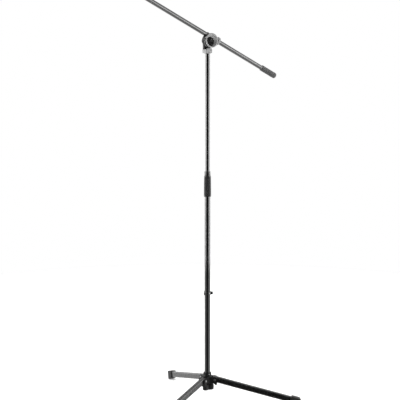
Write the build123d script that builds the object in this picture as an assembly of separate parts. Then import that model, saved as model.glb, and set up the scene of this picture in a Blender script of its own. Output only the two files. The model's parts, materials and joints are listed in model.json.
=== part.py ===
from build123d import *
import os
from math import cos, radians

# Boom microphone stand. Millimetres, +Z up, leg 1 along +X, standing on Z = 0.
# Every piece is drawn around the column axis and moved at the end, so that the
# origin is the centre of the bottom of the whole stand's box.

# ---- Driving dimensions ------------------------------------------------------

# Folding tripod base
leg_count = 3
leg_slope = 14.15           # degrees that a spread leg drops below level
leg_reach = 387.0           # column axis to the end of a foot, measured level
leg_depth = 25.0
leg_width = 18.0
leg_wall = 1.5
leg_corner = 5.5
leg_pivot_radius = 32.0     # column axis to a leg's pivot pin
leg_pivot_height = 107.0
pin_radius = 3.0
pin_head_radius = 4.6
running_gap = 0.05          # radial gap of everything that turns or slides
side_gap = 0.3              # gap between a leg and its cheeks
cheek_thickness = 5.5
cheek_radius = 11.5
heel_clearance = 1.0        # between a leg's round heel and the hub
foot_length = 43.0
foot_wall = 3.0
foot_end_wall = 5.0
foot_tread = 8.0            # rubber under the leg, worn flat on the floor
foot_nose_radius = 7.0
hub_core_radius = 18.5
hub_neck_radius = 16.5
hub_neck_bottom = 127.0
hub_shoulder = 118.0        # where the core starts to narrow to the neck
clamp_plate_thickness = 4.0
clamp_plate_reach = 31.0

# Column
lower_tube_radius = 12.0
lower_tube_wall = 1.5
lower_tube_bottom = 110.0
lower_tube_top = 902.0
hub_top = 135.0
hub_screw_radius = 2.0
hub_screw_height = 130.5
knob_stud_top = 107.0
upper_rod_radius = 10.0
upper_rod_wall = 1.25
upper_rod_bottom = 757.0
socket_bottom = 1440.0      # lower end of the swivel base
socket_depth = 8.0
rod_thread_length = 7.0
pivot_height = 1491.0       # tilt axis of the boom

# Clamp knob under the base
knob_top = 87.5
knob_bottom = 62.0
knob_lobe_radius = 10.0
knob_lobe_offset = 17.0
knob_turn = 2.0             # degrees, how the knob happens to stand
base_stud_radius = 4.0

# Leg rest ring on the lower tube
rest_ring_bottom = 464.0
rest_ring_top = 476.5
rest_ring_radius = 14.8
rest_lug_reach = 22.5
rest_lug_width = 8.0

# Height clutch
grip_bottom = 868.0
grip_top = 951.0
grip_bottom_radius = 14.7
grip_top_radius = 13.8
collar_top = 970.0
collar_radius = 12.7
collet_radius = 12.5
clutch_plug_length = 32.0
clutch_neck_length = 22.0
wiper_radius = 11.6
wiper_bottom = 961.0
wiper_top = 966.0

# Boom and its clamp. Along the tilt axis, + is the side of the outer jaw.
boom_azimuth = 39.0         # degrees, level direction of the boom's tail
boom_tilt = 24.7            # degrees that the tail drops below level
boom_radius = 9.0
boom_wall = 1.0
boom_length = 805.0
boom_tail_reach = 361.0     # tilt axis to the end of the tail grip
boom_offset = 14.3          # tilt axis to the boom's axis, square to both
boom_side = 13.5            # boom's axis along the tilt axis; the jaws part here
jaw_radius = 28.5
jaw_gap = 1.5
jaw_front = 32.0
jaw_back = 0.0
jaw_groove = 2.5            # depth of the groove round the jaws where they part
recess_rim_radius = 25.0
recess_floor_radius = 18.0
recess_shift = -2.5         # recess's floor from the tilt axis, along the boom
recess_drop = 6.0           # and below the tilt axis, away from the boom
recess_floor = 24.7
cover_thickness = 1.2
band_front = 26.8           # black band set flush in the outer jaw's side
band_back = 17.0
band_thickness = 2.0
band_gap = 15.7             # half the opening in it that the boom's sleeve passes
liner_radius = 10.1
liner_lip_radius = 11.5
liner_start = -22.0         # places along the boom, from the tilt axis
liner_end = 40.5
mouth_start = -32.0
mouth_end = -14.0
mouth_radius = 15.5
clamp_sleeve_radius = 13.5
clamp_flange_radius = 16.3
clamp_flange_start = 31.0
clamp_flange_end = 39.0
bolt_radius = 3.0
bolt_head_radius = 7.4
bolt_head_height = 3.5
friction_disc_thickness = 2.5
friction_disc_radius = 25.5
cheek_disc_radius = 19.0
cheek_back = -14.5
cheek_foot = (-10.0, 10.0), (6.5, 13.0), (-41.5, -33.0)      # tongue in the base's slot
swivel_half_width = 14.5
swivel_front = 11.7
swivel_back = -16.5
swivel_top = -34.0          # base's top, from the tilt axis
swivel_lip_top = -29.7
swivel_lip_half_width = 11.5
swivel_lip_thickness = 2.0
swivel_boss_radius = 13.0
swivel_boss_height = 2.5
handle_hub_radius = 9.5
handle_hub_length = 12.0
handle_reach = 18.0         # half the length of the T handle's bar
insert_radius = 5.5
spring_radius = 3.4
spring_wire_radius = 0.35
spring_seat_radius = 4.1
spring_seat_depth = 4.0
tail_grip_length = 80.0
tail_grip_radius = 11.8
tail_grip_end_wall = 4.0
thread_radius = 4.7625      # 3/8 inch thread
thread_length = 14.0

# ---- Worked out from the driving dimensions -----------------------------------

leg_angles = [360.0 / leg_count * number for number in range(leg_count)]
leg_end = (leg_reach - leg_pivot_radius) / cos(radians(leg_slope))
leg_bar_end = leg_end - foot_end_wall
plate_top = leg_pivot_height - leg_depth / 2 - side_gap
boom_tail = boom_tail_reach - tail_grip_end_wall
boom_head = boom_tail - boom_length

ALONG_X = Rot(0, 90, 0)
ALONG_Y = Rot(-90, 0, 0)

HEAD_FRAME = Pos(0, 0, pivot_height) * Rot(0, 0, boom_azimuth)
TILTED_FRAME = HEAD_FRAME * Rot(0, boom_tilt, 0)
HUB_SCREW_FRAME = Pos(0, 0, hub_screw_height) * Rot(0, 0, -60) * ALONG_X
TO_BOOM = Pos(0, -boom_side, boom_offset) * ALONG_X
BOOM_FRAME = TILTED_FRAME * TO_BOOM


# ---- Small building blocks -----------------------------------------------------

def post(radius, bottom, top):
    """Round bar along Z between two heights."""
    upright = (Align.CENTER, Align.CENTER, Align.MIN)
    return Pos(0, 0, bottom) * Cylinder(radius, top - bottom, align=upright)


def sleeve(outer, inner, bottom, top):
    """Round tube along Z between two heights."""
    return post(outer, bottom, top) - post(inner, bottom, top)


def across(radius, front, back):
    """Round bar along the tilt axis, between two places on it, + towards the outer jaw."""
    return ALONG_Y * post(radius, -front, -back)


def turned(*points):
    """Solid of revolution about Z from an outline of (radius, height) points."""
    outline = Polyline(*[(radius, 0, height) for radius, height in points], close=True)
    return revolve(make_face(outline), Axis.Z)


def block(x_range, y_range, z_range):
    """Box between two limits on each axis."""
    size = [high - low for low, high in (x_range, y_range, z_range)]
    middle = [(high + low) / 2 for low, high in (x_range, y_range, z_range)]
    return Pos(*middle) * Box(*size)


def side_outline(outline, width):
    """Plate of an X-Z outline, centred on Y."""
    return extrude(Plane.XZ * outline, width / 2, both=True)


def at_leg(angle):
    """Frame at a leg's pivot: X level and outwards, Z up."""
    return Rot(0, 0, angle) * Pos(leg_pivot_radius, 0, leg_pivot_height)


# ---- Tripod base ----------------------------------------------------------------

def make_base_hub():
    """Cast hub: socket for the lower tube, and a clevis for each leg."""
    core_bottom = plate_top + side_gap
    hub = turned(
        (0, core_bottom),
        (hub_core_radius, core_bottom),
        (hub_core_radius, hub_shoulder),
        (hub_neck_radius, hub_neck_bottom),
        (hub_neck_radius, hub_top - 1),
        (hub_neck_radius - 1, hub_top),
        (0, hub_top),
    )
    inner = leg_width / 2 + side_gap
    outer = inner + cheek_thickness
    cheek = Circle(cheek_radius) + Pos(-14, -0.5) * Rectangle(28, 2 * cheek_radius + 1)
    cheek += make_face(Polyline((-6, -10), (-6, -14.5), (3, -22.5), (8, -22.5), (11.2, -2.5), close=True))
    for angle in leg_angles:
        clevis = side_outline(cheek, 2 * outer) - block((-40, 40), (-inner, inner), (-17.5, 40))
        clevis -= block((-40, 3.5), (-inner, inner), (-40, 40))
        clevis -= ALONG_Y * post(pin_radius, -outer, outer)
        hub += at_leg(angle) * clevis
    for angle in leg_angles:
        swing = side_outline(Circle(leg_depth / 2 + heel_clearance), 2 * inner)
        swing -= block((-40, 40), (-inner, inner), (-40, -17.5))
        hub -= at_leg(angle) * swing
    hub -= post(lower_tube_radius, lower_tube_bottom, hub_top)
    hub -= post(base_stud_radius + running_gap, 0, lower_tube_bottom)
    return hub - HUB_SCREW_FRAME * post(hub_screw_radius, 0, 20)


def make_hub_screw():
    """Grub screw that holds the lower tube in the hub."""
    screw = post(hub_screw_radius, lower_tube_radius, 17.2)
    return HUB_SCREW_FRAME * (screw - Pos(0, 0, 15.7) * extrude(RegularPolygon(1.1, 6), 1.5))


def make_lower_tube():
    inner = lower_tube_radius - lower_tube_wall
    return sleeve(lower_tube_radius, inner, lower_tube_bottom, lower_tube_top)


def make_leg_pin():
    """Riveted pin through both cheeks of a clevis."""
    reach = leg_width / 2 + side_gap + cheek_thickness
    pin = post(pin_radius, -reach, reach)
    for end in (reach, -reach - 1.6):
        pin += post(pin_head_radius, end, end + 1.6)
    return ALONG_Y * pin


def make_leg_blank(inset):
    """Leg's outer form, or the hollow inside it, with a round heel about the pivot."""
    radius = leg_depth / 2 - inset
    outline = Circle(radius)
    outline += Pos(leg_bar_end / 2, 0) * Rectangle(leg_bar_end, 2 * radius)
    blank = side_outline(outline, leg_width - 2 * inset)
    long_edges = blank.edges().filter_by(Axis.X).filter_by(lambda edge: edge.length > leg_bar_end / 2)
    return fillet(long_edges, leg_corner - inset)


def make_leg():
    """Rounded box section, hollow from the pivot's heel to its open outer end."""
    hollow = make_leg_blank(leg_wall) + block(
        (leg_bar_end - 5, leg_bar_end),
        (leg_wall - leg_width / 2, leg_width / 2 - leg_wall),
        (leg_wall - leg_depth / 2, leg_depth / 2 - leg_wall),
    )
    leg = make_leg_blank(0) - hollow
    bush = ALONG_Y * post(pin_radius + 2.5, -leg_width / 2, leg_width / 2)
    bore = ALONG_Y * post(pin_radius + running_gap, -leg_width / 2, leg_width / 2)
    return leg + bush - bore


def make_foot():
    """Rubber shoe on the end of a leg, with a tread that stands flat on the floor."""
    upper = leg_depth / 2 + foot_wall
    lower = leg_depth / 2 + foot_tread
    start = leg_end - foot_length
    outline = make_face(Polyline(
        (start, upper - 2),
        (start + 3, upper),
        (leg_end - 9, upper),
        (leg_end, upper - 8),
        (leg_end, -lower + 6),
        (leg_end - 6, -lower),
        (leg_end - 22, -lower),
        (start, -upper + 1),
        close=True,
    ))
    shoe = side_outline(outline, leg_width + 2 * foot_wall)
    nose = shoe.edges().filter_by(Axis.Z).sort_by(Axis.X)[-2:]
    shoe = fillet(nose, foot_nose_radius)
    return shoe - make_leg_blank(0)


def make_clamp_plate():
    """Star plate that the knob presses against the heels of all three legs."""
    plate_bottom = plate_top - clamp_plate_thickness
    plate = post(17.0, plate_bottom, plate_top)
    for angle in leg_angles:
        arm = block((0, clamp_plate_reach), (-8, 8), (plate_bottom, plate_top))
        plate += Rot(0, 0, angle) * arm
    return plate - post(base_stud_radius + running_gap, 0, hub_top)


def make_knob_washer():
    top = plate_top - clamp_plate_thickness - 0.1
    return sleeve(9.0, base_stud_radius + running_gap, knob_top + 0.1, top)


def make_base_knob():
    """Three-lobed moulded knob."""
    outline = Circle(13)
    for number in range(3):
        outline += Rot(0, 0, 120 * number) * Pos(knob_lobe_offset, 0) * Circle(knob_lobe_radius)
    knob = extrude(outline, knob_top - knob_bottom)
    rim = knob.edges().filter_by(GeomType.CIRCLE)
    knob = chamfer(rim, 1.5)
    knob = Rot(0, 0, knob_turn) * Pos(0, 0, knob_bottom) * knob
    return knob - post(base_stud_radius, knob_bottom + 8, knob_top)


def make_knob_stud():
    """Threaded stud moulded into the knob, up into the hub."""
    return post(base_stud_radius, knob_bottom + 8, knob_stud_top)


def make_rest_ring():
    """Ring on the lower tube, with a lug for each folded leg."""
    ring = post(rest_ring_radius, rest_ring_bottom, rest_ring_top)
    for angle in leg_angles:
        half = rest_lug_width / 2
        lug = block((0, rest_lug_reach), (-half, half), (rest_ring_bottom + 1, rest_ring_top - 1))
        lug = chamfer(lug.edges().filter_by(Axis.Z).sort_by(Axis.X)[-2:], 1.5)
        ring += Rot(0, 0, angle) * lug
    ring -= post(lower_tube_radius, 0, lower_tube_top)
    return ring - make_ring_screw()


def make_ring_screw():
    """Cross-recess screw that pinches the ring on the tube."""
    height = (rest_ring_bottom + rest_ring_top) / 2
    screw = post(1.5, lower_tube_radius, rest_ring_radius - 0.3)
    screw += post(2.6, rest_ring_radius - 0.3, rest_ring_radius + 1.2)
    slot_bottom = rest_ring_radius + 0.5
    screw -= block((-2, 2), (-0.35, 0.35), (slot_bottom, slot_bottom + 2))
    screw -= block((-0.35, 0.35), (-2, 2), (slot_bottom, slot_bottom + 2))
    return Pos(0, 0, height) * Rot(0, 0, -50) * ALONG_X * screw


# ---- Height clutch and upper rod ---------------------------------------------------

def make_clutch_body():
    """Plug pressed into the tube's top, with a threaded neck for the grip."""
    plug_radius = lower_tube_radius - lower_tube_wall
    body = post(plug_radius, lower_tube_top - clutch_plug_length, lower_tube_top)
    body += post(lower_tube_radius, lower_tube_top, lower_tube_top + clutch_neck_length)
    return body - post(upper_rod_radius + 0.15, 0, collar_top)


def make_clutch_collet():
    """Slotted nylon collet that the grip squeezes on to the rod."""
    bottom = lower_tube_top + clutch_neck_length + 0.4
    top = grip_top - 3.0
    collet = turned(
        (upper_rod_radius + running_gap, bottom),
        (collet_radius - 1.2, bottom),
        (collet_radius, bottom + 5),
        (collet_radius, top - 5),
        (collet_radius - 1.2, top),
        (upper_rod_radius + running_gap, top),
    )
    for angle in (0, 90):
        collet -= Rot(0, 0, angle) * block((-15, 15), (-0.6, 0.6), (bottom + 6, top + 1))
    return collet


def make_clutch_grip():
    """Moulded grip that screws down the neck and closes the collet."""
    shell = turned(
        (0, grip_bottom),
        (grip_bottom_radius - 1, grip_bottom),
        (grip_bottom_radius, grip_bottom + 1),
        (grip_bottom_radius, grip_bottom + 4),
        (grip_top_radius, grip_top - 4),
        (grip_top_radius, grip_top - 1),
        (grip_top_radius - 0.8, grip_top),
        (0, grip_top),
    )
    shell -= post(lower_tube_radius + 0.1, grip_bottom, grip_top)
    return shell - post(collar_radius, lower_tube_top + clutch_neck_length, grip_top)


def make_clutch_collar():
    """Metal ring that closes the top of the grip and holds the wiper."""
    collar = turned(
        (0, grip_top - 2.6),
        (collar_radius, grip_top - 2.6),
        (collar_radius, collar_top - 1.5),
        (collar_radius - 1.2, collar_top),
        (0, collar_top),
    )
    collar -= post(upper_rod_radius + 0.15, 0, collar_top)
    return collar - post(wiper_radius, wiper_bottom, wiper_top)


def make_rod_wiper():
    return sleeve(wiper_radius, upper_rod_radius + running_gap, wiper_bottom, wiper_top)


def make_upper_rod():
    inner = upper_rod_radius - upper_rod_wall
    return sleeve(upper_rod_radius, inner, upper_rod_bottom, socket_bottom + socket_depth)


def make_rod_bush():
    """Nylon guide on the foot of the rod; it stops the rod at the clutch."""
    inner = upper_rod_radius - upper_rod_wall
    bush = post(lower_tube_radius - lower_tube_wall - 0.1, upper_rod_bottom - 10, upper_rod_bottom)
    bush += post(inner, upper_rod_bottom, upper_rod_bottom + 20)
    return bush - post(5.0, 0, collar_top)


def make_rod_stud():
    """Threaded plug pressed into the rod's top; the swivel base screws on to it."""
    inner = upper_rod_radius - upper_rod_wall
    rod_top = socket_bottom + socket_depth
    plug = post(inner, rod_top - 26, rod_top)
    return plug + post(thread_radius, rod_top, rod_top + rod_thread_length)


# ---- Swivel head ------------------------------------------------------------------

def make_swivel_base():
    """Square casting on the rod's top, with a slot for the cheek and a lip in front."""
    bottom = socket_bottom - pivot_height
    body_bottom = bottom + swivel_boss_height
    sides = (-swivel_half_width, swivel_half_width)
    body = block(sides, (-swivel_front, -swivel_back), (body_bottom, swivel_top))
    body = fillet(body.edges().filter_by(Axis.Z), 2.0)
    body = chamfer(body.faces().sort_by(Axis.Z)[0].edges(), 1.2)
    lip_sides = (-swivel_lip_half_width, swivel_lip_half_width)
    lip_depth = (-swivel_front, -swivel_front + swivel_lip_thickness)
    lip = block(lip_sides, lip_depth, (body_bottom + 3, swivel_lip_top))
    base = body + lip + post(swivel_boss_radius, bottom, body_bottom)
    base -= post(upper_rod_radius, bottom, bottom + socket_depth)
    base -= post(thread_radius, bottom, bottom + socket_depth + rod_thread_length)
    return HEAD_FRAME * (base - block(*cheek_foot))


def make_swivel_cheek():
    """Round-topped black cheek behind the clamp; its tongue stands in the base."""
    cheek_front = jaw_back - friction_disc_thickness
    cheek = across(cheek_disc_radius, cheek_front, cheek_back)
    sides = (-swivel_half_width, swivel_half_width)
    cheek += block(sides, (-cheek_front, -cheek_back), (swivel_top, 0))
    cheek = chamfer(cheek.faces().sort_by(Axis.Y)[-1].edges(), 1.2)
    cheek += block(*cheek_foot)
    return HEAD_FRAME * (cheek - across(bolt_radius + running_gap, jaw_front, cheek_back))


def make_friction_disc():
    """Rubber disc between the cheek and the inner jaw."""
    disc = across(friction_disc_radius, jaw_back, jaw_back - friction_disc_thickness)
    disc -= across(bolt_radius + running_gap, jaw_front, cheek_back)
    return TILTED_FRAME * disc


def make_clamp_form():
    """Whole boom clamp before it is split: drum, boom sleeve and end flange."""
    drum = across(jaw_radius, jaw_front, jaw_back)
    rims = drum.edges().filter_by(GeomType.CIRCLE).sort_by(Axis.Y)
    drum = fillet(rims[0], 2.5)
    rims = drum.edges().filter_by(GeomType.CIRCLE).sort_by(Axis.Y)
    drum = fillet(rims[-1], 7.0)
    drum -= ALONG_Y * turned(
        (jaw_radius - jaw_groove, -boom_side),
        (jaw_radius + 1, -boom_side - jaw_groove),
        (jaw_radius + 1, -boom_side + jaw_groove),
    )
    form = drum + TO_BOOM * post(clamp_sleeve_radius, 0, clamp_flange_start)
    form += TO_BOOM * post(clamp_flange_radius, clamp_flange_start, clamp_flange_end)
    form -= TO_BOOM * post(liner_radius + running_gap, mouth_start, clamp_flange_end)
    form -= TO_BOOM * turned(
        (0, mouth_start),
        (mouth_radius, mouth_start),
        (liner_radius + running_gap, mouth_end),
        (0, mouth_end),
    )
    return form - across(bolt_radius + running_gap, jaw_front, jaw_back)


def make_jaw_band():
    """Black band set in the outer jaw's side, open where the boom goes through."""
    band = across(jaw_radius, band_front, band_back)
    band -= across(jaw_radius - band_thickness, band_front, band_back)
    corridor = (boom_offset - band_gap, boom_offset + band_gap)
    return TILTED_FRAME * (band - block((-60, 60), (-60, 60), corridor))


def make_outer_jaw():
    """Front half of the clamp, with a dished recess for the bolt's head."""
    split = boom_side + jaw_gap / 2
    jaw = make_clamp_form() & block((-60, 60), (-jaw_front, -split), (-60, 60))
    rim = Pos(0, -jaw_front, 0) * ALONG_Y * Circle(recess_rim_radius)
    floor = Pos(recess_shift, -recess_floor, -recess_drop) * ALONG_Y * Circle(recess_floor_radius)
    return TILTED_FRAME * (jaw - loft([rim, floor])) - make_jaw_band()


def make_inner_jaw():
    """Back half of the clamp, against the friction disc, with the spring's seat."""
    split = boom_side - jaw_gap / 2
    jaw = make_clamp_form() & block((-60, 60), (-split, 60), (-60, 60))
    jaw -= across(spring_seat_radius, split, split - spring_seat_depth)
    return TILTED_FRAME * jaw


def make_jaw_cover():
    """Thin black cover on the floor of the recess, round the bolt's head."""
    front = recess_floor + cover_thickness
    cover = across(recess_floor_radius, front, recess_floor)
    cover = Pos(recess_shift, 0, -recess_drop) * cover
    cover -= across(bolt_head_radius + 0.2, front, recess_floor)
    return TILTED_FRAME * cover


def make_clamp_bolt():
    """Bolt along the tilt axis, its hexagon head in the outer jaw's recess."""
    bolt = across(bolt_radius, recess_floor, cheek_back - handle_hub_length - 1)
    head = extrude(RegularPolygon(bolt_head_radius, 6), bolt_head_height)
    bolt += Pos(0, -recess_floor, 0) * Rot(90, 0, 0) * head
    return TILTED_FRAME * bolt


def make_jaw_spring():
    """Short coil spring that opens the jaws when the handle is slackened."""
    helix = Helix(pitch=2.2, height=4.4, radius=spring_radius)
    section = Plane(helix @ 0, z_dir=helix % 0) * Circle(spring_wire_radius)
    coil = sweep(section, path=helix, is_frenet=True)
    seat_floor = boom_side - jaw_gap / 2 - spring_seat_depth
    start = seat_floor + spring_wire_radius + 0.15
    return TILTED_FRAME * Pos(0, -start, 0) * Rot(90, 0, 0) * coil


def make_handle_washer():
    washer = across(9.0, cheek_back - 0.1, cheek_back - 1.6)
    return TILTED_FRAME * (washer - across(bolt_radius + running_gap, 0, -40))


def make_clamp_handle():
    """Moulded T handle behind the cheek; its bar happens to stand upright."""
    front = cheek_back - 2.0
    back = front - handle_hub_length
    hub = across(handle_hub_radius, front, back)
    bar = block((-6.0, 6.0), (-front + 3, -back), (-handle_reach, handle_reach))
    bar = fillet(bar.edges(), 3.5)
    return HEAD_FRAME * (hub + bar - across(insert_radius, front, back))


def make_handle_insert():
    """Brass nut moulded into the handle; it runs on the bolt's thread."""
    front = cheek_back - 2.0
    insert = across(insert_radius, front, front - handle_hub_length)
    return HEAD_FRAME * (insert - across(bolt_radius + running_gap, 0, -60))


# ---- Boom --------------------------------------------------------------------------

def make_boom_liner():
    """Nylon liner in the jaws, with a lip towards the microphone."""
    inner = boom_radius + running_gap
    liner = sleeve(liner_radius, inner, liner_start, liner_end)
    liner += sleeve(liner_lip_radius, inner, liner_start, liner_start + 1.8)
    return BOOM_FRAME * liner


def make_boom_tube():
    tube = sleeve(boom_radius, boom_radius - boom_wall, boom_head, boom_tail)
    return BOOM_FRAME * tube


def make_tail_grip():
    """Rubber grip over the tail of the boom, with a rounded closed end."""
    start = boom_tail_reach - tail_grip_length
    grip = turned(
        (0, start),
        (tail_grip_radius - 1, start),
        (tail_grip_radius, start + 1),
        (tail_grip_radius, boom_tail_reach - 5),
        (tail_grip_radius - 1.4, boom_tail_reach - 1.4),
        (tail_grip_radius - 5, boom_tail_reach),
        (0, boom_tail_reach),
    )
    return BOOM_FRAME * (grip - post(boom_radius, 0, boom_tail))


def make_mic_stud():
    """Plug in the boom's front end, with the thread that carries a microphone clip."""
    fitting = post(boom_radius - boom_wall, boom_head, boom_head + 22)
    fitting += turned(
        (0, boom_head - 4),
        (9, boom_head - 4),
        (10, boom_head - 3),
        (10, boom_head - 1),
        (9, boom_head),
        (0, boom_head),
    )
    tip = boom_head - 4 - thread_length
    fitting += post(thread_radius, tip, boom_head - 4)
    fitting = chamfer(fitting.edges().filter_by(GeomType.CIRCLE).sort_by(Axis.Z)[0], 0.8)
    return BOOM_FRAME * fitting


# ---- Assembly ------------------------------------------------------------------------

def make_nodes():
    """Every node by name, drawn around the column axis."""
    nodes = {
        "base_hub": make_base_hub(),
        "hub_screw": make_hub_screw(),
        "lower_tube": make_lower_tube(),
        "clamp_plate": make_clamp_plate(),
        "knob_washer": make_knob_washer(),
        "base_knob": make_base_knob(),
        "knob_stud": make_knob_stud(),
        "rest_ring": make_rest_ring(),
        "ring_screw": make_ring_screw(),
        "clutch_body": make_clutch_body(),
        "clutch_collet": make_clutch_collet(),
        "clutch_grip": make_clutch_grip(),
        "clutch_collar": make_clutch_collar(),
        "rod_wiper": make_rod_wiper(),
        "upper_rod": make_upper_rod(),
        "rod_bush": make_rod_bush(),
        "rod_stud": make_rod_stud(),
        "swivel_base": make_swivel_base(),
        "swivel_cheek": make_swivel_cheek(),
        "friction_disc": make_friction_disc(),
        "inner_jaw": make_inner_jaw(),
        "outer_jaw": make_outer_jaw(),
        "jaw_band": make_jaw_band(),
        "jaw_cover": make_jaw_cover(),
        "jaw_spring": make_jaw_spring(),
        "clamp_bolt": make_clamp_bolt(),
        "handle_washer": make_handle_washer(),
        "clamp_handle": make_clamp_handle(),
        "handle_insert": make_handle_insert(),
        "boom_liner": make_boom_liner(),
        "boom_tube": make_boom_tube(),
        "tail_grip": make_tail_grip(),
        "mic_stud": make_mic_stud(),
    }
    floor_cut = block((-600, 600), (-600, 600), (-50, 0))
    for number, angle in enumerate(leg_angles, start=1):
        sloped = at_leg(angle) * Rot(0, leg_slope, 0)
        nodes[f"leg_{number}"] = sloped * make_leg()
        nodes[f"foot_{number}"] = sloped * make_foot() - floor_cut
        nodes[f"leg_pin_{number}"] = at_leg(angle) * make_leg_pin()
    return nodes


def column_shift(nodes):
    """Move that puts the origin under the middle of the whole stand's box."""
    boxes = [node.bounding_box() for node in nodes.values()]
    middle_x = (min(box.min.X for box in boxes) + max(box.max.X for box in boxes)) / 2
    middle_y = (min(box.min.Y for box in boxes) + max(box.max.Y for box in boxes)) / 2
    print("column axis at", -middle_x, -middle_y, "lowest", min(box.min.Z for box in boxes))
    return Pos(-middle_x, -middle_y, 0)


def main():
    nodes = make_nodes()
    to_origin = column_shift(nodes)
    os.makedirs("parts", exist_ok=True)
    for name, node in nodes.items():
        export_step(to_origin * node, f"parts/{name}.step")


main()
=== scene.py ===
import json
import math

import bmesh
import bpy
from mathutils import Matrix, Vector


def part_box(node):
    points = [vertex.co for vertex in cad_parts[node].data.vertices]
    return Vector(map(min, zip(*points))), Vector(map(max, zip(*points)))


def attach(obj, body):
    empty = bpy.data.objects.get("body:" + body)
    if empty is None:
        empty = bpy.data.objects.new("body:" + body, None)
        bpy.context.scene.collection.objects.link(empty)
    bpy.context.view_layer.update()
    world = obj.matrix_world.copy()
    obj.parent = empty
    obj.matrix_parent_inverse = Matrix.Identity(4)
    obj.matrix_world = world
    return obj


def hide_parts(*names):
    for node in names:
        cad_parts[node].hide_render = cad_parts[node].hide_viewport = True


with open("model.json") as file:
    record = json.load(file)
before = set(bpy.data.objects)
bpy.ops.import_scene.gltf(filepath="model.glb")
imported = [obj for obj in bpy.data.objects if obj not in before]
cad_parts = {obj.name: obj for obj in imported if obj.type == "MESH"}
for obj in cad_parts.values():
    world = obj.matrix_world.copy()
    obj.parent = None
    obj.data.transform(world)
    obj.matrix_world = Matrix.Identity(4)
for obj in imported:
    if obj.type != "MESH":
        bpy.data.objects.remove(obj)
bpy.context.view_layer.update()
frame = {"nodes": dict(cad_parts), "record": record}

MM = 0.001


# ---- Places taken from the frame ----------------------------------------------

def middle(node):
    """Centre of a CAD node's box."""
    low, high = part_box(node)
    return (Vector(low) + Vector(high)) / 2


def joint(name):
    """A joint of the record, by name."""
    return next(entry for entry in frame["record"]["behaviour"]["joints"] if entry["name"] == name)


COLUMN = middle("lower_tube")
COLUMN.z = 0.0
BOOM_POINT = Vector(joint("boom_roll")["pos_m"])
BOOM_AXIS = Vector(joint("boom_slide")["axis"]).normalized()


def frame_on(origin, z_axis, x_hint):
    """Matrix with Z along an axis and X near a second direction."""
    z = z_axis.normalized()
    y = z.cross(x_hint).normalized()
    x = y.cross(z)
    turn = Matrix((x, y, z)).transposed().to_4x4()
    return Matrix.Translation(origin) @ turn


UP = Vector((0, 0, 1))
ON_COLUMN = Matrix.Translation(COLUMN)
ON_BOOM = frame_on(BOOM_POINT, BOOM_AXIS, UP)


def along_boom(node):
    """Lowest and highest place of a node's mesh along the boom, from the tilt axis."""
    obj = frame["nodes"][node]
    places = [(obj.matrix_world @ vert.co - BOOM_POINT).dot(BOOM_AXIS) for vert in obj.data.vertices]
    return min(places), max(places)


HEAD_REACH = along_boom("boom_tube")[0]
TAIL_REACH = along_boom("tail_grip")[1]


# ---- Node building --------------------------------------------------------------

NOISE_LOW, NOISE_HIGH = 0.3, 0.7       # levels that noise seldom leaves


class Shader:
    """Short way to build a material around one Principled shader."""

    def __init__(self, name, color, roughness, metallic=0.0, specular=0.5):
        self.material = bpy.data.materials.new(name)
        self.material.use_nodes = True
        self.tree = self.material.node_tree
        self.bsdf = self.tree.nodes["Principled BSDF"]
        self.set("Base Color", (*color, 1.0))
        self.set("Roughness", roughness)
        self.set("Metallic", metallic)
        self.set("Specular IOR Level", specular)
        self.place = self.add("ShaderNodeTexCoord").outputs["Object"]

    def set(self, socket, value):
        self.bsdf.inputs[socket].default_value = value

    def add(self, kind, **settings):
        node = self.tree.nodes.new(kind)
        for key, value in settings.items():
            setattr(node, key, value)
        return node

    def link(self, output, target):
        self.tree.links.new(output, target)

    def noise(self, scale, detail=4.0, roughness=0.6, stretch=None):
        """Noise over the object's own coordinates, scale in features per metre."""
        node = self.add("ShaderNodeTexNoise")
        node.inputs["Scale"].default_value = scale
        node.inputs["Detail"].default_value = detail
        node.inputs["Roughness"].default_value = roughness
        source = self.place
        if stretch:
            mapping = self.add("ShaderNodeMapping")
            mapping.inputs["Scale"].default_value = stretch
            self.link(source, mapping.inputs["Vector"])
            source = mapping.outputs["Vector"]
        self.link(source, node.inputs["Vector"])
        return node.outputs["Fac"]

    def cells(self, scale):
        """Distance to the nearest cell centre, for pebbled textures."""
        node = self.add("ShaderNodeTexVoronoi")
        node.inputs["Scale"].default_value = scale
        self.link(self.place, node.inputs["Vector"])
        return node.outputs["Distance"]

    def ramp(self, source, stops):
        """Colour ramp through (position, grey or colour) stops."""
        node = self.add("ShaderNodeValToRGB")
        elements = node.color_ramp.elements
        while len(elements) < len(stops):
            elements.new(0.5)
        for element, (position, color) in zip(elements, stops):
            element.position = position
            shade = color if isinstance(color, tuple) else (color,) * 3
            element.color = (*shade, 1.0)
        self.link(source, node.inputs["Fac"])
        return node.outputs["Color"]

    def span(self, source, low, high):
        """Noise mapped to a range of values."""
        node = self.add("ShaderNodeMapRange")
        node.inputs["From Min"].default_value = NOISE_LOW
        node.inputs["From Max"].default_value = NOISE_HIGH
        node.inputs["To Min"].default_value = low
        node.inputs["To Max"].default_value = high
        self.link(source, node.inputs["Value"])
        return node.outputs["Result"]

    def bump(self, height, strength, depth):
        """Bump from a height source; later calls lie on top of earlier ones."""
        node = self.add("ShaderNodeBump")
        node.inputs["Strength"].default_value = strength
        node.inputs["Distance"].default_value = depth
        self.link(height, node.inputs["Height"])
        normal = self.bsdf.inputs["Normal"]
        if normal.is_linked:
            self.link(normal.links[0].from_socket, node.inputs["Normal"])
        self.link(node.outputs["Normal"], normal)

    def drive(self, source, socket):
        self.link(source, self.bsdf.inputs[socket])


# ---- Materials -------------------------------------------------------------------

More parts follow.
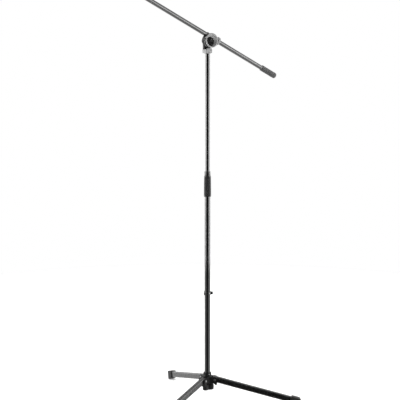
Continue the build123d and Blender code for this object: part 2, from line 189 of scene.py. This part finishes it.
def tube_paint():
    """Glossy black coat on the tubes, with faint orange peel and handling haze."""
    shader = Shader("tube_paint", (0.01, 0.01, 0.01), 0.1, specular=1.0)
    haze = shader.noise(14.0, stretch=(1.0, 1.0, 0.35))
    shader.drive(shader.ramp(haze, [(0.35, 0.002), (0.65, 0.005)]), "Base Color")
    shader.drive(shader.span(shader.noise(60.0), 0.06, 0.14), "Roughness")
    shader.bump(shader.noise(420.0, detail=2.0), 0.05, 0.0001)
    return shader.material


def leg_paint():
    """Satin black powder coat on the legs."""
    shader = Shader("leg_paint", (0.015, 0.015, 0.015), 0.28, specular=0.65)
    haze = shader.noise(22.0)
    shader.drive(shader.ramp(haze, [(0.35, 0.002), (0.65, 0.006)]), "Base Color")
    shader.drive(shader.span(shader.noise(90.0), 0.22, 0.34), "Roughness")
    shader.bump(shader.noise(900.0, detail=3.0), 0.12, 0.0001)
    return shader.material


def dark_casting():
    """Black paint over a sand-cast skin."""
    shader = Shader("dark_casting", (0.012, 0.012, 0.012), 0.5, specular=0.15)
    tone = shader.noise(45.0)
    shader.drive(shader.ramp(tone, [(0.3, 0.002), (0.7, 0.006)]), "Base Color")
    shader.drive(shader.span(shader.noise(160.0), 0.42, 0.58), "Roughness")
    shader.bump(shader.noise(700.0, detail=5.0), 0.3, 0.0003)
    return shader.material


def grey_casting():
    """Grey satin plate on the head's castings, brighter in patches."""
    shader = Shader("grey_casting", (0.2, 0.2, 0.202), 0.55, metallic=0.1, specular=0.3)
    tone = shader.noise(70.0)
    shader.drive(shader.ramp(tone, [(0.3, 0.2), (0.7, 0.25)]), "Base Color")
    shader.drive(shader.span(shader.noise(240.0), 0.48, 0.62), "Roughness")
    shader.bump(shader.noise(1100.0, detail=4.0), 0.2, 0.0002)
    return shader.material


def black_rubber(name="black_rubber", darkest=0.006, brightest=0.013):
    """Matte moulded rubber with a dusty bloom. The lighter copy for the tail grip is painted light: its
    raised greys stand in for the strong top light on the grip.
    """
    shader = Shader(name, (0.03, 0.03, 0.03), 0.75, specular=0.35)
    bloom = shader.noise(55.0)
    shader.drive(shader.ramp(bloom, [(0.35, darkest), (0.7, brightest)]), "Base Color")
    shader.drive(shader.span(shader.noise(130.0), 0.55, 0.75), "Roughness")
    shader.bump(shader.cells(1500.0), 0.25, 0.0002)
    return shader.material


def black_plastic():
    """Spark-eroded moulded plastic."""
    shader = Shader("black_plastic", (0.02, 0.02, 0.021), 0.5, specular=0.25)
    tone = shader.noise(80.0)
    shader.drive(shader.ramp(tone, [(0.35, 0.003), (0.7, 0.008)]), "Base Color")
    shader.drive(shader.span(shader.noise(200.0), 0.42, 0.56), "Roughness")
    shader.bump(shader.cells(2200.0), 0.3, 0.00015)
    return shader.material


def nylon():
    """Smooth black nylon."""
    shader = Shader("nylon", (0.018, 0.018, 0.018), 0.42)
    shader.drive(shader.ramp(shader.noise(120.0), [(0.3, 0.012), (0.7, 0.026)]), "Base Color")
    shader.drive(shader.span(shader.noise(180.0), 0.35, 0.5), "Roughness")
    return shader.material


def zinc_steel():
    """Zinc-plated steel with a faint brushed grain."""
    shader = Shader("zinc_steel", (0.4, 0.4, 0.41), 0.35, metallic=1.0)
    shader.drive(shader.ramp(shader.noise(300.0), [(0.3, 0.32), (0.7, 0.48)]), "Base Color")
    shader.drive(shader.span(shader.noise(500.0), 0.25, 0.45), "Roughness")
    shader.bump(shader.noise(1600.0, detail=2.0), 0.15, 0.0002)
    return shader.material


def band_black_and_recess_shade():
    """Dead matte black of the band round the clamp and of the cover in its recess; on the cover the black
    is painted shade, standing in for the deep shade of an open recess.
    """
    shader = Shader("band_black_and_recess_shade", (0.003, 0.003, 0.003), 0.8, specular=0.12)
    shader.drive(shader.ramp(shader.noise(150.0), [(0.3, 0.002), (0.7, 0.005)]), "Base Color")
    shader.drive(shader.span(shader.noise(260.0), 0.7, 0.9), "Roughness")
    shader.bump(shader.cells(1800.0), 0.2, 0.0002)
    return shader.material


def black_oxide():
    """Dull black oxide on the clamp bolt."""
    shader = Shader("black_oxide", (0.01, 0.01, 0.01), 0.6, specular=0.08)
    shader.drive(shader.ramp(shader.noise(260.0), [(0.3, 0.008), (0.7, 0.02)]), "Base Color")
    shader.drive(shader.span(shader.noise(420.0), 0.5, 0.65), "Roughness")
    return shader.material


def brass():
    """Turned brass."""
    shader = Shader("brass", (0.7, 0.52, 0.24), 0.3, metallic=1.0)
    tone = shader.noise(300.0)
    shader.drive(shader.ramp(tone, [(0.3, (0.6, 0.44, 0.2)), (0.7, (0.78, 0.6, 0.3))]), "Base Color")
    shader.drive(shader.span(shader.noise(500.0), 0.22, 0.4), "Roughness")
    return shader.material


TUBE = tube_paint()
LEG = leg_paint()
CASTING = dark_casting()
GREY = grey_casting()
RUBBER = black_rubber()
# Lighter copy of the rubber for the tail grip: painted light, standing in for the strong top light on it
GRIP_RUBBER_PAINTED_LIGHT = black_rubber("grip_rubber_painted_light", darkest=0.035, brightest=0.06)
PLASTIC = black_plastic()
NYLON = nylon()
STEEL = zinc_steel()
BLACK_STEEL = black_oxide()
# On the cover in the clamp's recess this dead black is painted recess shade
BAND_AND_RECESS_SHADE = band_black_and_recess_shade()
BRASS = brass()

MATERIAL_OF = {
    "tube_black": TUBE,
    "leg_black": LEG,
    "casting_black": CASTING,
    "casting_grey": GREY,
    "ring_black": LEG,
    "rubber_black": RUBBER,
    "plastic_black": PLASTIC,
    "nylon_black": NYLON,
    "steel_zinc": STEEL,
    "steel_black": BLACK_STEEL,
    # Band round the clamp, and painted recess shade on the cover
    "cover_black": BAND_AND_RECESS_SHADE,
    "brass_insert": BRASS,
    "zinc_insert": STEEL,
}


def dress_nodes():
    """Give every CAD node the material of its slot."""
    for entry in frame["record"]["subparts"]:
        node = frame["nodes"][entry["node"]]
        node.data.materials.clear()
        node.data.materials.append(MATERIAL_OF[entry["material_slot"]])


# ---- Pieces that stand for CAD nodes ------------------------------------------------

BODIES = frame["record"]["behaviour"]["bodies"]
BODY_OF = {node: body for body, nodes in BODIES.items() for node in nodes}
SLOT_OF = {entry["node"]: entry["material_slot"] for entry in frame["record"]["subparts"]}


def place_piece(mesh, node, material=None):
    """Put a finished mesh in the scene in place of a CAD node, in its slot's material or another."""
    mesh.materials.clear()
    mesh.materials.append(material or MATERIAL_OF[SLOT_OF[node]])
    piece = bpy.data.objects.new("fine_" + node, mesh)
    bpy.context.scene.collection.objects.link(piece)
    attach(piece, BODY_OF[node])
    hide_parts(node)


def finish_mesh(shape, name, sharp=38.0):
    """Turn an edit mesh into a smooth-shaded one that keeps its sharp edges."""
    bmesh.ops.recalc_face_normals(shape, faces=shape.faces)
    for face in shape.faces:
        face.smooth = True
    mesh = bpy.data.meshes.new(name)
    shape.to_mesh(mesh)
    shape.free()
    mesh.set_sharp_from_angle(angle=math.radians(sharp))
    return mesh


WELD_DISTANCE = 0.005 * MM
FLAT_WITHIN = math.radians(0.4)        # faces this nearly level with each other become one
SHARP_FROM = math.radians(35.0)
BEVEL_SEGMENTS = 2

# Edge radius in millimetres of each CAD node that is shown as a rounded copy
SOFT_EDGES = {
    "base_hub": 0.8,
    "clamp_plate": 0.5,
    "rest_ring": 0.7,
    "swivel_base": 0.7,
    "swivel_cheek": 0.6,
    "inner_jaw": 0.8,
    "outer_jaw": 0.8,
    "jaw_band": 0.4,
    "jaw_cover": 0.4,
    "clamp_handle": 0.6,
    "foot_1": 1.4,
    "foot_2": 1.4,
    "foot_3": 1.4,
    "clutch_collar": 0.4,
    "boom_liner": 0.3,
}


def soften(node, width):
    """Stand in for a CAD node by a copy whose sharp edges are rounded over."""
    source = frame["nodes"][node]
    shape = bmesh.new()
    shape.from_mesh(source.data)
    shape.transform(source.matrix_world)
    bmesh.ops.remove_doubles(shape, verts=shape.verts, dist=WELD_DISTANCE)
    bmesh.ops.dissolve_limit(
        shape, angle_limit=FLAT_WITHIN, verts=shape.verts, edges=shape.edges
    )
    sharp = [edge for edge in shape.edges if len(edge.link_faces) == 2]
    sharp = [edge for edge in sharp if edge.calc_face_angle(0.0) > SHARP_FROM]
    bmesh.ops.bevel(
        shape, geom=sharp, offset=width, segments=BEVEL_SEGMENTS, profile=0.5,
        affect="EDGES", clamp_overlap=True,
    )
    place_piece(finish_mesh(shape, node), node)


def add_ring(shape, around, height, radius_at):
    """Ring of vertices about Z, with a radius for each angle."""
    ring = []
    for step in range(around):
        angle = 2 * math.pi * step / around
        radius = radius_at(angle)
        ring.append(shape.verts.new((radius * math.cos(angle), radius * math.sin(angle), height)))
    return ring


def bridge(shape, first, second):
    """Join two rings of equal count."""
    for step in range(len(first)):
        after = (step + 1) % len(first)
        shape.faces.new((first[step], first[after], second[after], second[step]))


def lathe(rows, around, radius_at):
    """Open surface about Z: rows of heights, with a radius for each angle and row."""
    shape = bmesh.new()
    rings = []
    for row, height in enumerate(rows):
        rings.append(add_ring(shape, around, height, lambda angle: radius_at(angle, row, height)))
    for lower, upper in zip(rings, rings[1:]):
        bridge(shape, lower, upper)
    return shape, rings


def cap(shape, ring):
    """Close a ring with a fan of triangles."""
    middle_of_ring = sum((vert.co for vert in ring), Vector()) / len(ring)
    tip = shape.verts.new(middle_of_ring)
    for vert, after in zip(ring, ring[1:] + ring[:1]):
        shape.faces.new((vert, after, tip))


def spaced(start, end, count):
    """Evenly spaced values, both ends included."""
    return [start + (end - start) * step / (count - 1) for step in range(count)]


def smooth_step(value):
    """0 below 0, 1 above 1, smooth between."""
    value = min(max(value, 0.0), 1.0)
    return value * value * (3 - 2 * value)


def add_bore(shape, rings, radius, lower, upper):
    """Round bore that starts at a turned outside's first ring. Gives its upper end."""
    around = len(rings[0])
    mouth, end = [add_ring(shape, around, height, lambda angle: radius) for height in (lower, upper)]
    bridge(shape, rings[0], mouth)
    bridge(shape, mouth, end)
    return end


def notch(along, centre, depth, width):
    """Depth of a soft groove round a piece, at a place along it."""
    return depth * math.exp(-(((along - centre) / width) ** 2))


def round_over(distance, depth, width):
    """How far an edge is drawn in, at a distance from it."""
    return depth * (1 - smooth_step(distance / width)) ** 2


GRIP_FLUTES = 22
GRIP_FLUTE_DEPTH = 0.55 * MM
GRIP_FLUTE_RUN_IN = 3 * MM
GRIP_BAND = 7 * MM                     # plain band at each end
GRIP_TAPER = 0.9 * MM                  # narrower at the top
GRIP_GROOVE = 4.8 * MM                 # fine groove in each band, from the end
GRIP_BORE = 12.2 * MM
GRIP_POINTS = 10                       # vertices across a flute


def make_clutch_grip():
    """Twist grip: a tapered sleeve with long flutes between two plain bands."""
    low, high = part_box("clutch_grip")
    bottom_radius = (high[0] - low[0]) / 2
    length = high[2] - low[2]

    def radius_at(angle, row, height):
        along = height - low[2]
        edge = min(along, length - along)
        radius = bottom_radius - GRIP_TAPER * along / length
        radius -= round_over(edge, 0.9 * MM, 1.2 * MM)
        radius -= notch(edge, GRIP_GROOVE, 0.5 * MM, 0.55 * MM)
        wave = 0.5 + 0.5 * math.cos(GRIP_FLUTES * angle)
        depth = smooth_step((edge - GRIP_BAND) / GRIP_FLUTE_RUN_IN) * GRIP_FLUTE_DEPTH
        return radius - depth * wave ** 3

    # Rows in millimetres from each end: the rounded edge, the groove, then the flutes' run-in
    steps = [0.0, 0.15, 0.4, 0.8, 1.2, 2.5, 3.6, 4.1, 4.45, 4.8, 5.15, 5.5, 6.2, 7.0, 7.8, 8.6, 9.4, 10.2]
    rows = [low[2] + step * MM for step in steps]
    rows += spaced(low[2] + 12 * MM, high[2] - 12 * MM, 8)
    rows += [high[2] - step * MM for step in reversed(steps)]
    shape, rings = lathe(rows, GRIP_FLUTES * GRIP_POINTS, radius_at)
    bore_end = add_bore(shape, rings, GRIP_BORE, rows[0], rows[-1])
    bridge(shape, bore_end, rings[-1])
    shape.transform(ON_COLUMN)
    place_piece(finish_mesh(shape, "clutch_grip"), "clutch_grip")


BOOM_RADIUS = 9.0 * MM
TAIL_GRIP_RADIUS = 11.8 * MM
TAIL_GRIP_LENGTH = 80 * MM
TAIL_GRIP_NOSE = 6.5 * MM              # radius of the rounded closed end
TAIL_GRIP_END_WALL = 4 * MM
TAIL_GRIP_GROOVES = (5 * MM, 8 * MM)   # from the open end
TAIL_GRIP_AROUND = 56
NOSE_ROWS = 10


def make_tail_grip():
    """Rubber grip on the boom's tail: rounded closed end, and two grooves near the open end."""
    end = TAIL_REACH
    start = end - TAIL_GRIP_LENGTH
    nose = TAIL_GRIP_NOSE

    def radius_at(angle, row, height):
        along = height - start
        left = end - height
        size = TAIL_GRIP_RADIUS
        if left < nose:
            size -= nose * (1 - math.sqrt(max(0.0, 1 - (1 - left / nose) ** 2)))
        size -= round_over(along, 0.8 * MM, 1.0 * MM)
        for groove in TAIL_GRIP_GROOVES:
            size -= notch(along, groove, 0.45 * MM, 0.6 * MM)
        return size

    rows = spaced(start, start + MM, 5)
    rows += spaced(start + 2.5 * MM, start + 10 * MM, 24)
    rows += spaced(start + 14 * MM, end - nose, 8)
    for step in range(1, NOSE_ROWS + 1):
        rows.append(end - nose + nose * math.sin(math.pi / 2 * step / NOSE_ROWS))
    shape, rings = lathe(rows, TAIL_GRIP_AROUND, radius_at)
    cap(shape, rings[-1])
    cap(shape, add_bore(shape, rings, BOOM_RADIUS, start, end - TAIL_GRIP_END_WALL))
    shape.transform(ON_BOOM)
    # The tail grip wears the lighter rubber, whose extra lightness is painted light
    place_piece(finish_mesh(shape, "tail_grip"), "tail_grip", GRIP_RUBBER_PAINTED_LIGHT)


THREAD_RADIUS = 4.7625 * MM
THREAD_PITCH = 1.5875 * MM             # 16 turns to the inch
THREAD_DEPTH = 0.95 * MM
THREAD_LENGTH = 14 * MM
THREAD_CHAMFER = 0.7 * MM
SHOULDER_RADIUS = 10 * MM
SHOULDER_LENGTH = 4 * MM
SHOULDER_KNURLS = 36
KNURL_DEPTH = 0.35 * MM
PLUG_LENGTH = 20 * MM                  # the part inside the boom
STUD_AROUND = 144
HAIR = 0.01 * MM                       # step between two rows that stand for one height


def make_mic_stud():
    """Stud for the microphone clip: a knurled shoulder and a real screw thread."""
    mouth = HEAD_REACH
    thread_top = mouth - SHOULDER_LENGTH
    tip = thread_top - THREAD_LENGTH

    def thread_radius(angle, height):
        turns = (height - tip) / THREAD_PITCH - angle / (2 * math.pi)
        tooth = abs(2 * (turns % 1.0) - 1)
        fade = smooth_step((height - tip) / (1.2 * MM)) * smooth_step((thread_top - height) / MM)
        depth = THREAD_DEPTH * (1 - fade * min(1.0, 1.25 * tooth))
        chamfer = max(0.0, THREAD_CHAMFER - (height - tip))
        return THREAD_RADIUS - max(depth, chamfer)

    def shoulder_radius(angle, height):
        along = (height - thread_top) / SHOULDER_LENGTH
        edge = min(along, 1 - along)
        wave = 0.5 + 0.5 * math.cos(SHOULDER_KNURLS * angle)
        knurl = KNURL_DEPTH * wave * smooth_step((edge - 0.12) / 0.1)
        return SHOULDER_RADIUS - MM * (1 - smooth_step(edge / 0.2)) - knurl

    def radius_at(angle, row, height):
        if height < thread_top - HAIR:
            return thread_radius(angle, height)
        if height <= mouth:
            return shoulder_radius(angle, height)
        return BOOM_RADIUS - MM

    rows = spaced(tip, thread_top - 2 * HAIR, 112)
    rows += spaced(thread_top, mouth, 17)
    rows += [mouth + HAIR, mouth + PLUG_LENGTH]
    shape, rings = lathe(rows, STUD_AROUND, radius_at)
    cap(shape, rings[0])
    cap(shape, rings[-1])
    shape.transform(ON_BOOM)
    place_piece(finish_mesh(shape, "mic_stud", sharp=50.0), "mic_stud")


KNOB_LOBES = 3
KNOB_TURN = math.radians(2)
KNOB_VALLEY = 13 * MM                  # from the axis, between two lobes
KNOB_REACH = 27 * MM
KNOB_CORE = 16 * MM                    # what the outline nears towards the axis
KNOB_AROUND = 120
# Side view from the dished underside to the top: share of the outline, share of the height
KNOB_PROFILE = [
    (0.30, 0.16), (0.34, 0.05), (0.42, 0.0), (0.78, 0.0), (0.9, 0.025), (0.97, 0.08),
    (1.0, 0.17), (1.0, 0.72), (0.985, 0.84), (0.94, 0.93), (0.86, 0.98), (0.75, 1.0),
]


def knob_outline(angle):
    """Radius of the knob's three-lobed outline."""
    lobe = 0.5 + 0.5 * math.cos(KNOB_LOBES * (angle - KNOB_TURN))
    return KNOB_VALLEY + (KNOB_REACH - KNOB_VALLEY) * lobe ** 0.75


def make_base_knob():
    """Three-lobed knob with rounded edges and a dished underside."""
    low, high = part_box("base_knob")
    full_height = high[2] - low[2]

    def radius_at(angle, row, height):
        share = KNOB_PROFILE[row][0]
        full = knob_outline(angle)
        if share >= 0.95:
            return share * full
        return share * (KNOB_CORE + (full - KNOB_CORE) * (0.35 + 0.65 * share))

    rows = [low[2] + level * full_height for _, level in KNOB_PROFILE]
    shape, rings = lathe(rows, KNOB_AROUND, radius_at)
    cap(shape, rings[0])
    cap(shape, rings[-1])
    shape.transform(ON_COLUMN)
    place_piece(finish_mesh(shape, "base_knob"), "base_knob")


# ---- Studio -----------------------------------------------------------------------

CAMERA_DISTANCE = 3.76
CAMERA_HEIGHT = 1.3154
CAMERA_SIDE = math.radians(4.0)        # camera's place round the column, from -Y
CAMERA_HEADING = math.radians(4.463)   # a little to the left of the column
CAMERA_PITCH = math.radians(7.0)
CAMERA_LENS = 84.14


def make_camera():
    data = bpy.data.cameras.new("camera")
    data.lens = CAMERA_LENS
    data.sensor_width = 36.0
    camera = bpy.data.objects.new("camera", data)
    bpy.context.scene.collection.objects.link(camera)
    side = Vector((math.sin(CAMERA_SIDE), -math.cos(CAMERA_SIDE), 0)) * CAMERA_DISTANCE
    camera.location = COLUMN + side + UP * CAMERA_HEIGHT
    camera.rotation_euler = (math.pi / 2 - CAMERA_PITCH, 0, CAMERA_HEADING)
    bpy.context.scene.camera = camera


TENT_LIGHT = 3.3                       # two lit paper walls, left and right
TENT_RADIUS = 3.0
TENT_HEIGHT = 2.3
TENT_SHADE = [(0.3, 0.55), (0.75, 1.0)]           # height in metres, part of the full light
TENT_WALLS = [(-40.0, 65.0), (130.0, 225.0)]      # degrees from +X that each wall covers
TENT_SEGMENTS = 24
SKY_LIGHT = 1.1
LOW_LIGHT = 1.3                        # what gloss shows of the studio's floor
FRONT_LIGHT = 0.02                     # the dark half of the studio, behind the camera
FLOOR_RADIUS = 3.0                     # as far as the paper walls


def world_ramp(tree, source, stops):
    """Grey ramp over a direction's component, which runs from -1 to 1."""
    shift = tree.nodes.new("ShaderNodeMapRange")
    shift.inputs["From Min"].default_value = -1.0
    shift.inputs["From Max"].default_value = 1.0
    tree.links.new(source, shift.inputs["Value"])
    ramp = tree.nodes.new("ShaderNodeValToRGB")
    ramp.color_ramp.interpolation = "EASE"
    elements = ramp.color_ramp.elements
    while len(elements) < len(stops):
        elements.new(0.5)
    for element, (component, grey) in zip(elements, stops):
        element.position = (component + 1) / 2
        element.color = (grey, grey, grey, 1.0)
    tree.links.new(shift.outputs["Result"], ramp.inputs["Fac"])
    return ramp.outputs["Color"]


def make_world():
    """White studio: a soft ceiling, a dim floor and a dark front, where the camera stands."""
    world = bpy.data.worlds.new("studio")
    bpy.context.scene.world = world
    world.use_nodes = True
    tree = world.node_tree
    coordinates = tree.nodes.new("ShaderNodeTexCoord")
    split = tree.nodes.new("ShaderNodeSeparateXYZ")
    tree.links.new(coordinates.outputs["Generated"], split.inputs["Vector"])
    by_height = world_ramp(tree, split.outputs["Z"], [(-0.3, LOW_LIGHT), (0.3, SKY_LIGHT)])
    by_front = world_ramp(tree, split.outputs["Y"], [(-0.86, FRONT_LIGHT), (-0.5, 1.0)])
    both = tree.nodes.new("ShaderNodeMix")
    both.data_type = "RGBA"
    both.blend_type = "MULTIPLY"
    both.inputs["Factor"].default_value = 1.0
    tree.links.new(by_height, both.inputs["A"])
    tree.links.new(by_front, both.inputs["B"])
    lit = tree.nodes["Background"]
    tree.links.new(both.outputs["Result"], lit.inputs["Color"])
    white = tree.nodes.new("ShaderNodeBackground")
    white.inputs["Color"].default_value = (1.0, 1.0, 1.0, 1.0)
    path = tree.nodes.new("ShaderNodeLightPath")
    mix = tree.nodes.new("ShaderNodeMixShader")
    tree.links.new(path.outputs["Is Camera Ray"], mix.inputs["Fac"])
    tree.links.new(lit.outputs["Background"], mix.inputs[1])
    tree.links.new(white.outputs["Background"], mix.inputs[2])
    tree.links.new(mix.outputs["Shader"], tree.nodes["World Output"].inputs["Surface"])


def make_tent():
    """Two curved walls of lit paper beside the stand, which only light and gloss see."""
    shape = bmesh.new()
    for start, end in TENT_WALLS:
        posts = []
        for angle in spaced(math.radians(start), math.radians(end), TENT_SEGMENTS + 1):
            across = (TENT_RADIUS * math.cos(angle), TENT_RADIUS * math.sin(angle))
            foot = shape.verts.new((*across, 0.0))
            head = shape.verts.new((*across, TENT_HEIGHT))
            posts.append((foot, head))
        for (foot, head), (next_foot, next_head) in zip(posts, posts[1:]):
            shape.faces.new((foot, next_foot, next_head, head))
    shape.transform(ON_COLUMN)
    mesh = bpy.data.meshes.new("light_tent")
    shape.to_mesh(mesh)
    shape.free()
    tent = bpy.data.objects.new("light_tent", mesh)
    bpy.context.scene.collection.objects.link(tent)
    shader = Shader("lit_paper", (0.8, 0.8, 0.8), 0.9)
    height = shader.add("ShaderNodeSeparateXYZ")
    shader.link(shader.place, height.inputs["Vector"])
    shader.drive(shader.ramp(height.outputs["Z"], TENT_SHADE), "Emission Color")
    shader.set("Emission Strength", TENT_LIGHT)
    mesh.materials.append(shader.material)
    tent.visible_camera = False


def make_floor():
    """Round pale floor under the feet; in a picture its edge melts into the white studio."""
    shape = bmesh.new()
    bmesh.ops.create_circle(shape, cap_ends=True, segments=96, radius=FLOOR_RADIUS)
    shape.transform(ON_COLUMN)
    mesh = bpy.data.meshes.new("floor")
    shape.to_mesh(mesh)
    shape.free()
    floor = bpy.data.objects.new("floor", mesh)
    bpy.context.scene.collection.objects.link(floor)
    shader = Shader("floor_paper", (0.92, 0.92, 0.92), 0.9, specular=0.1)
    shader.drive(shader.ramp(shader.noise(3.0), [(0.3, 0.9), (0.7, 0.93)]), "Base Color")
    mesh.materials.append(shader.material)
    floor.visible_glossy = False


dress_nodes()
make_clutch_grip()
make_tail_grip()
make_mic_stud()
make_base_knob()
for node, width in SOFT_EDGES.items():
    soften(node, width * MM)
make_camera()
make_world()
make_tent()
make_floor()

bpy.context.scene.view_settings.view_transform = "Standard"
